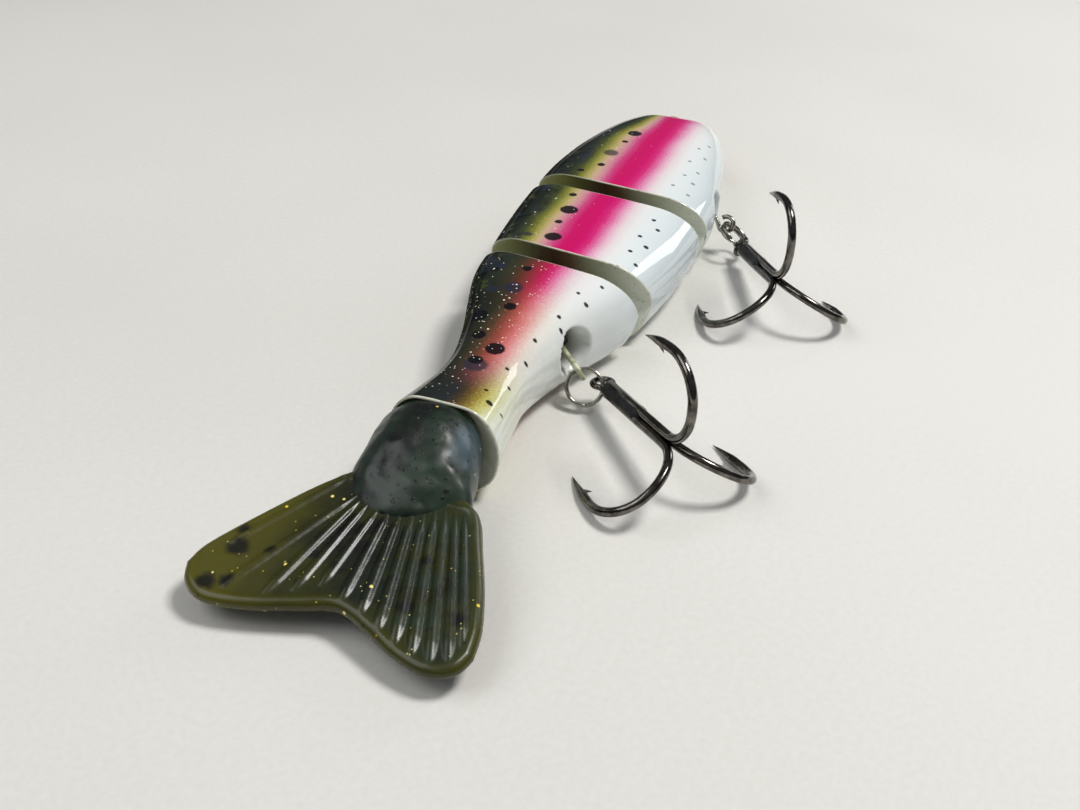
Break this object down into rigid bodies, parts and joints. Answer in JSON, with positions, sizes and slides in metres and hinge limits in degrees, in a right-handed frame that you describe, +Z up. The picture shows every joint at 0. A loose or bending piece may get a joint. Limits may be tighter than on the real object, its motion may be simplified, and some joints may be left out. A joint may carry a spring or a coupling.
{
  "type": "jointed swimbait",
  "caption": "Jointed hard-bodied swimbait with a painted trout pattern, belly treble hooks on split rings and a soft forked tail.",
  "frame": {"origin": "centre of the footprint, on the surface the lure lies on", "axes": "+X towards the nose, +Y towards the lure's back, +Z up through the right flank: the lure lies on its left flank"},
  "size_m": [0.2012, 0.0814, 0.0281],
  "materials": {
    "body_paint": "airbrushed trout colours under a thick gloss clear coat",
    "steel_wire": "bright drawn wire",
    "black_nickel": "black nickel plate",
    "lead": "dull cast",
    "black_plastic": "moulded",
    "fish_eye": "domed gloss",
    "soft_tail": "glossy translucent soft plastic with glitter"
  },
  "bodies": {
    "head": {"head_body": "body_paint", "line_tie": "steel_wire", "fish_eye_left": "fish_eye", "fish_eye_right": "fish_eye", "head_ballast": "lead", "front_joint_eye_upper": "steel_wire", "front_joint_eye_lower": "steel_wire", "front_socket": "black_plastic"},
    "middle": {"middle_body": "body_paint", "middle_ballast": "lead", "front_joint_pin": "steel_wire", "rear_joint_eye_upper": "steel_wire", "rear_joint_eye_lower": "steel_wire"},
    "rear": {"rear_body": "body_paint", "rear_joint_pin": "steel_wire", "rear_socket": "black_plastic", "tail_socket": "soft_tail", "tail_peg": "black_plastic", "tail_pin": "steel_wire"},
    "fin": {"tail_fin": "soft_tail"},
    "front_hanger": {"front_hanger": "steel_wire"},
    "front_ring": {"front_split_ring": "steel_wire"},
    "front_treble": {"front_treble": "black_nickel"},
    "rear_hanger": {"rear_hanger": "steel_wire"},
    "rear_ring": {"rear_split_ring": "steel_wire"},
    "rear_treble": {"rear_treble": "black_nickel"}
  },
  "joints": [
    {"name": "front_body_joint", "type": "hinge", "parent": "head", "child": "middle", "pos_m": [0.03297, 0.01574, 0.0093], "axis": [0, 1, 0], "range_deg": [-26, 26]},
    {"name": "rear_body_joint", "type": "hinge", "parent": "middle", "child": "rear", "pos_m": [-0.00233, 0.01574, 0.0093], "axis": [0, 1, 0], "range_deg": [-26, 26]},
    {"name": "tail_flex", "type": "hinge", "parent": "rear", "child": "fin", "pos_m": [-0.07213, 0.01574, 0.0086], "axis": [0, 1, 0], "range_deg": [-30, 35], "stiffness_Nm_per_rad": 0.02},
    {"name": "front_hanger_swivel", "type": "hinge", "parent": "head", "child": "front_hanger", "pos_m": [0.05287, -0.00246, 0.0091], "axis": [0.2644, 0.9167, 0.2997], "range_deg": [-60, 60]},
    {"name": "front_ring_swing", "type": "hinge", "parent": "front_hanger", "child": "front_ring", "pos_m": [0.05137, -0.00766, 0.0074], "axis": [-0.4742, 0.3942, -0.7872], "range_deg": [-25, 12]},
    {"name": "front_treble_swing", "type": "hinge", "parent": "front_ring", "child": "front_treble", "pos_m": [0.04752, -0.01251, 0.00445], "axis": [-0.7578, 0.5011, 0.4179], "range_deg": [-30, 50]},
    {"name": "rear_hanger_swivel", "type": "hinge", "parent": "rear", "child": "rear_hanger", "pos_m": [-0.01853, 0.00794, 0.0095], "axis": [0.4902, 0.7517, 0.4412], "range_deg": [-40, 60]},
    {"name": "rear_ring_swing", "type": "hinge", "parent": "rear_hanger", "child": "rear_ring", "pos_m": [-0.02153, 0.00334, 0.0068], "axis": [-0.6515, -0.0203, 0.7584], "range_deg": [-5, 35]},
    {"name": "rear_treble_swing", "type": "hinge", "parent": "rear_ring", "child": "rear_treble", "pos_m": [-0.02173, -0.00176, 0.0054], "axis": [-0.4997, -0.4417, -0.7451], "range_deg": [-45, 45]}
  ]
}
